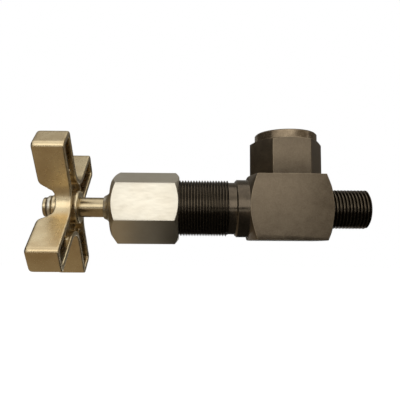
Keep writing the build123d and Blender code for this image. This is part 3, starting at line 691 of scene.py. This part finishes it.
handle = cross_block("handle_casting", 0, 0, HANDLE_DEPTH)
select_edges(handle, lambda middle, along: middle.z > HANDLE_DEPTH - NEAR and abs(along.z) < 0.1)
bpy.ops.mesh.bevel(offset=BACK_EDGE, segments=5, affect="EDGES", clamp_overlap=False)
bpy.ops.object.mode_set(mode="OBJECT")
hollow = cross_block("handle_hollow", HANDLE_WALL, -MM, HANDLE_DEPTH - HANDLE_WALL)
dish_height = HANDLE_DEPTH - DISH_DEPTH
combine(hollow, turned("hollow_limit", [
    (dish_height - HUB_WEB, 0),
    (dish_height - HUB_WEB, DISH_FLOOR + HUB_WEB / 2),
    (HANDLE_DEPTH - HANDLE_WALL, DISH_RIM + HUB_WEB),
    (HANDLE_DEPTH, DISH_RIM + HUB_WEB),
    (HANDLE_DEPTH, 0),
], along="Z", steps=96), "DIFFERENCE")
combine(handle, hollow, "DIFFERENCE")
combine(handle, turned("handle_dish", [
    (dish_height, 0),
    (dish_height, DISH_FLOOR - 1.2 * MM),
    (dish_height + 0.5 * MM, DISH_FLOOR + 0.3 * MM),
    (HANDLE_DEPTH - 1.2 * MM, DISH_RIM - 0.6 * MM),
    (HANDLE_DEPTH - 0.3 * MM, DISH_RIM + 0.4 * MM),
    (HANDLE_DEPTH, DISH_RIM + 1.8 * MM),
    (HANDLE_DEPTH + 0.4 * MM, DISH_RIM + 4 * MM),
    (HANDLE_DEPTH + 4 * MM, DISH_RIM + 4 * MM),
    (HANDLE_DEPTH + 4 * MM, 0),
], along="Z", steps=96), "DIFFERENCE")
for step in range(4):
    bpy.ops.object.select_all(action="DESELECT")
    bpy.ops.mesh.primitive_cube_add(size=1)
    rib = bpy.context.object
    rib.name = "handle_rib"
    rib.matrix_world = (
        Matrix.Rotation(step * math.pi / 2, 4, "Z")
        @ Matrix.Translation((RIB_PLACE, 0, (RIB_SETBACK + HANDLE_DEPTH - HANDLE_WALL) / 2))
        @ Matrix.Diagonal((
            RIB_THICKNESS, ARM_WIDTH - HANDLE_WALL, HANDLE_DEPTH - HANDLE_WALL - RIB_SETBACK + MM, 1))
    )
    select_only(rib)
    bpy.ops.object.transform_apply(location=True, rotation=True, scale=True)
    combine(handle, rib, "UNION")
combine(handle, turned("handle_hub", [
    (-HUB_STAND_OUT, 0),
    (-HUB_STAND_OUT, HUB_RADIUS - 0.6 * MM),
    (-HUB_STAND_OUT + 0.6 * MM, HUB_RADIUS),
    (dish_height - MM, HUB_RADIUS),
    (dish_height - MM, BOSS_RADIUS),
    (dish_height + BOSS_HEIGHT - 0.8 * MM, BOSS_RADIUS),
    (dish_height + BOSS_HEIGHT, BOSS_RADIUS - 0.8 * MM),
    (dish_height + BOSS_HEIGHT, 0),
], along="Z", steps=64), "UNION")
combine(handle, turned("handle_bore", [
    (-5 * MM, 0),
    (-5 * MM, STEM_END_RADIUS),
    (HANDLE_DEPTH + 5 * MM, STEM_END_RADIUS),
    (HANDLE_DEPTH + 5 * MM, 0),
], along="Z", steps=64), "DIFFERENCE")
handle.matrix_world = (
    Matrix.Translation((HANDLE_BACK, 0, 0))
    @ ACROSS_SPINDLE
    @ Matrix.Rotation(math.pi / 4 + HANDLE_TURN, 4, "Z")
)
select_only(handle)
bpy.ops.object.transform_apply(location=True, rotation=True, scale=True)
casting = handle.modifiers.new("casting", "REMESH")
casting.mode = "VOXEL"
casting.voxel_size = CAST_GRID
bpy.ops.object.modifier_apply(modifier=casting.name)
softened = handle.modifiers.new("softened", "SMOOTH")
softened.factor = 0.5
softened.iterations = 14
bpy.ops.object.modifier_apply(modifier=softened.name)
bpy.ops.object.shade_smooth()

# Nickel over a tumbled zinc casting has a soft warm shine: broad highlights on the flats, bright
# edges, and a skin that ripples faintly over 1.4 mm and clouds over about 14 mm.
CAST_RIPPLE = 1.4 * MM
CAST_CLOUD = 14 * MM
nickel_casting, tree = empty_material("nickel_finished_die_casting")
place = add_node(tree, "ShaderNodeTexCoord")
grain = add_node(tree, "ShaderNodeTexNoise", {
    "Vector": place.outputs["Object"], "Scale": 1 / CAST_RIPPLE, "Detail": 3, "Roughness": 0.6})
cloud = add_node(tree, "ShaderNodeTexNoise", {
    "Vector": place.outputs["Object"], "Scale": 1 / CAST_CLOUD, "Detail": 3, "Roughness": 0.6})
tone = add_node(tree, "ShaderNodeMapRange", {
    "Value": cloud.outputs["Fac"], "From Min": 0.35, "From Max": 0.65})
colour = add_node(tree, "ShaderNodeMix", {
    0: tone.outputs[0], 6: linear("C6B18B"), 7: linear("D8C7A2")}, data_type="RGBA")
rough = add_node(tree, "ShaderNodeMapRange", {
    "Value": grain.outputs["Fac"], "From Min": 0.3, "From Max": 0.7, "To Min": 0.26, "To Max": 0.33})
bump = add_node(tree, "ShaderNodeBump", {
    "Height": grain.outputs["Fac"], "Strength": 0.04, "Distance": 0.06 * MM})
shader = add_node(tree, "ShaderNodeBsdfPrincipled", {
    "Base Color": colour.outputs[2], "Metallic": 1.0, "Roughness": rough.outputs[0],
    "Normal": bump.outputs[0]})
add_node(tree, "ShaderNodeOutputMaterial", {"Surface": shader.outputs[0]})
handle.data.materials.append(nickel_casting)
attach(handle, "spindle")
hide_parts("handle")

# ---- Handle washer, snap ring and pin ----------------------------------------------------------
# A plated steel washer lies on the hub's boss, and a round wire ring snaps into the spindle's
# groove in front of it. A hardened pin across the hub turns the spindle.
washer_low, washer_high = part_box("handle_washer")
washer = turned("handle_washer_zinc", [
    (washer_high[0], STEM_END_RADIUS),
    (washer_high[0], washer_high[2] - 0.3 * MM),
    (washer_high[0] - 0.3 * MM, washer_high[2]),
    (washer_low[0] + 0.45 * MM, washer_high[2]),
    (washer_low[0] + 0.12 * MM, washer_high[2] - 0.15 * MM),
    (washer_low[0], washer_high[2] - 0.5 * MM),
    (washer_low[0], STEM_END_RADIUS),
], steps=72)
settle(washer, 40)
washer.data.materials.append(zinc_plate)
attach(washer, "spindle")
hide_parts("handle_washer")

ring_middle = (ring_low[0] + ring_high[0]) / 2
wire_radius = (ring_high[0] - ring_low[0]) / 2
ring_radius = ring_high[2] - wire_radius
snap_ring = turned("handle_snap_ring_wire", [
    (ring_middle + wire_radius * math.cos(turn), ring_radius + wire_radius * math.sin(turn))
    for turn in [step * math.pi / 6 for step in range(12)]], steps=72)
settle(snap_ring, 60)
snap_ring.data.materials.append(phosphated_steel)
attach(snap_ring, "spindle")
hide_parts("handle_snap_ring")

# ---- Union nut ---------------------------------------------------------------------------------
# Turned from 34 mm hexagon bar with a round collar on top, and phosphated like the body. It turns
# freely on the nipple's flange and takes the gauge's G 1/2 stem in its thread.
union_low, union_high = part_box("union_nut")
PORT_X = (union_low[0] + union_high[0]) / 2
UNION_FLATS = union_high[1] - union_low[1]
UNION_BOTTOM, UNION_TOP = union_low[2], union_high[2]
HEX_TOP = UNION_BOTTOM + 19.2 * MM
UNION_COLLAR = 16.8 * MM
SOCKET_CREST, SOCKET_DEPTH, SOCKET_PITCH = 9.3155 * MM, 1.162 * MM, 1.814 * MM
POCKET_TOP = UNION_BOTTOM + 10.6 * MM
LIP_TOP = UNION_BOTTOM + 5.0 * MM
LIP_RADIUS = 7.55 * MM
UNION_HEX_CHAMFER = 1.25 * MM
UNION_COLLAR_CHAMFER = 0.7 * MM
SOCKET_CHAMFER = 0.9 * MM
LIP_CHAMFER = 0.3 * MM

union_nut = hexagon_bar("union_nut_steel", UNION_FLATS, UNION_TOP - UNION_BOTTOM + 2 * MM)
union_nut.matrix_world = (
    Matrix.Translation((PORT_X, 0, UNION_BOTTOM - MM))
    @ Matrix.Rotation(math.pi / 2, 4, "Z")
    @ union_nut.matrix_world
)
select_only(union_nut)
bpy.ops.object.transform_apply(location=True, rotation=True, scale=True)
socket_root = SOCKET_CREST + SOCKET_DEPTH
union_corner = UNION_FLATS / math.sqrt(3) + CORNER_CLEARANCE
combine(union_nut, turned("union_blank", [
    (UNION_BOTTOM, LIP_RADIUS + LIP_CHAMFER),
    (UNION_BOTTOM, union_corner),
    (HEX_TOP - UNION_HEX_CHAMFER, union_corner),
    (HEX_TOP, UNION_COLLAR),
    (UNION_TOP - UNION_COLLAR_CHAMFER, UNION_COLLAR),
    (UNION_TOP, UNION_COLLAR - UNION_COLLAR_CHAMFER),
    (UNION_TOP, SOCKET_CREST + SOCKET_CHAMFER),
    (UNION_TOP - SOCKET_CHAMFER, SOCKET_CREST),
    (POCKET_TOP, SOCKET_CREST),
    (POCKET_TOP, socket_root),
    (LIP_TOP, socket_root),
    (LIP_TOP, LIP_RADIUS),
    (UNION_BOTTOM + LIP_CHAMFER, LIP_RADIUS),
], along="Z", centre=(PORT_X, 0, 0), steps=128), "INTERSECT")
round_edges(union_nut, EDGE, degrees=18)
socket_thread = threaded_bar(
    "socket_thread", SOCKET_CREST + SOCKET_DEPTH - THREAD_CLEARANCE, SOCKET_DEPTH + THREAD_CLEARANCE,
    SOCKET_PITCH, POCKET_TOP - 0.1 * MM, UNION_TOP + MM)
socket_thread.matrix_world = Matrix.Translation((PORT_X, 0, 0)) @ Matrix.Rotation(-math.pi / 2, 4, "Y")
select_only(socket_thread)
bpy.ops.object.transform_apply(location=True, rotation=True, scale=True)
combine(union_nut, socket_thread, "DIFFERENCE")
settle(union_nut, SMOOTH_BELOW)
union_nut.data.materials.append(phosphated_steel)
# The collar is turned smooth, and handling has rubbed its phosphate down to bronze-brown metal.
rubbed_steel = phosphate("rubbed_phosphated_steel", "93826A", "6E5F4B", "CDBB9C", 0.22, 0.05)
union_nut.data.materials.append(rubbed_steel)
union_nut.data.materials.append(oiled_thread_painted_shade)
for face in union_nut.data.polygons:
    from_axis = math.hypot(face.center.x - PORT_X, face.center.y)
    if from_axis < socket_root and face.center.z > POCKET_TOP:
        face.material_index = 2
    elif face.center.z > HEX_TOP + SEAM:
        face.material_index = 1
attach(union_nut, "union")
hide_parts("union_nut")

# ---- Inner pieces ------------------------------------------------------------------------------
# The nipple, the seals, the packing and the needle lie inside. Only the nipple and its gasket show,
# down the union nut's socket, but each has the finish that the real one has.
# Hardened steel ground all over is bright, cool grey and nearly a mirror. Its grinding grain is
# drawn 0.7 mm coarse, ten times the real one.
hardened_steel, tree = empty_material("hardened_ground_steel")
place = add_node(tree, "ShaderNodeTexCoord")
grain = add_node(tree, "ShaderNodeTexNoise", {
    "Vector": place.outputs["Object"], "Scale": 1 / (0.7 * MM), "Detail": 3})
rough = add_node(tree, "ShaderNodeMapRange", {"Value": grain.outputs["Fac"], "To Min": 0.22, "To Max": 0.36})
colour = add_node(tree, "ShaderNodeMix", {
    0: grain.outputs["Fac"], 6: linear("8E8E90"), 7: linear("ABABAD")}, data_type="RGBA")
shader = add_node(tree, "ShaderNodeBsdfPrincipled", {
    "Base Color": colour.outputs[2], "Metallic": 1.0, "Roughness": rough.outputs[0]})
add_node(tree, "ShaderNodeOutputMaterial", {"Surface": shader.outputs[0]})

# Annealed copper is soft, matt and pink-brown, with darker oxide patches 2.5 mm across.
soft_copper, tree = empty_material("annealed_copper")
place = add_node(tree, "ShaderNodeTexCoord")
cloud = add_node(tree, "ShaderNodeTexNoise", {
    "Vector": place.outputs["Object"], "Scale": 1 / (2.5 * MM), "Detail": 3})
colour = add_node(tree, "ShaderNodeMix", {
    0: cloud.outputs["Fac"], 6: linear("A8663F"), 7: linear("C98A5E")}, data_type="RGBA")
rough = add_node(tree, "ShaderNodeMapRange", {"Value": cloud.outputs["Fac"], "To Min": 0.3, "To Max": 0.5})
shader = add_node(tree, "ShaderNodeBsdfPrincipled", {
    "Base Color": colour.outputs[2], "Metallic": 1.0, "Roughness": rough.outputs[0]})
add_node(tree, "ShaderNodeOutputMaterial", {"Surface": shader.outputs[0]})

# Moulded PTFE is a waxy, slightly mottled white; the mottle is 2 mm across.
white_ptfe, tree = empty_material("moulded_ptfe")
place = add_node(tree, "ShaderNodeTexCoord")
cloud = add_node(tree, "ShaderNodeTexNoise", {
    "Vector": place.outputs["Object"], "Scale": 1 / (2 * MM), "Detail": 2})
colour = add_node(tree, "ShaderNodeMix", {
    0: cloud.outputs["Fac"], 6: linear("DEDCD4"), 7: linear("EFEEE9")}, data_type="RGBA")
shader = add_node(tree, "ShaderNodeBsdfPrincipled", {
    "Base Color": colour.outputs[2], "Roughness": 0.45, "IOR": 1.38})
add_node(tree, "ShaderNodeOutputMaterial", {"Surface": shader.outputs[0]})

# Nitrile rubber is a dull near-black with a moulded grain, drawn 0.8 mm coarse so that it shows.
wiper_rubber, tree = empty_material("nitrile_rubber")
place = add_node(tree, "ShaderNodeTexCoord")
grain = add_node(tree, "ShaderNodeTexNoise", {
    "Vector": place.outputs["Object"], "Scale": 1 / (0.8 * MM), "Detail": 3})
colour = add_node(tree, "ShaderNodeMix", {
    0: grain.outputs["Fac"], 6: linear("1A1A1B"), 7: linear("2B2B2C")}, data_type="RGBA")
shader = add_node(tree, "ShaderNodeBsdfPrincipled", {"Base Color": colour.outputs[2], "Roughness": 0.6})
add_node(tree, "ShaderNodeOutputMaterial", {"Surface": shader.outputs[0]})

inner_finishes = {
    "gland_follower": hardened_steel,
    "packing_washer": hardened_steel,
    "needle_cone": hardened_steel,
    "needle_retaining_ring": hardened_steel,
    "handle_pin": hardened_steel,
    "gauge_nipple": phosphated_steel,
    "nipple_seal_ring": soft_copper,
    "gauge_gasket": soft_copper,
    "packing_header_ring": white_ptfe,
    "packing_base_ring": white_ptfe,
    "packing_ring_1": white_ptfe,
    "packing_ring_2": white_ptfe,
    "packing_ring_3": white_ptfe,
    "stem_wiper": wiper_rubber,
}
for node_name, finish in inner_finishes.items():
    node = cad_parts[node_name]
    node.data.materials.clear()
    node.data.materials.append(finish)
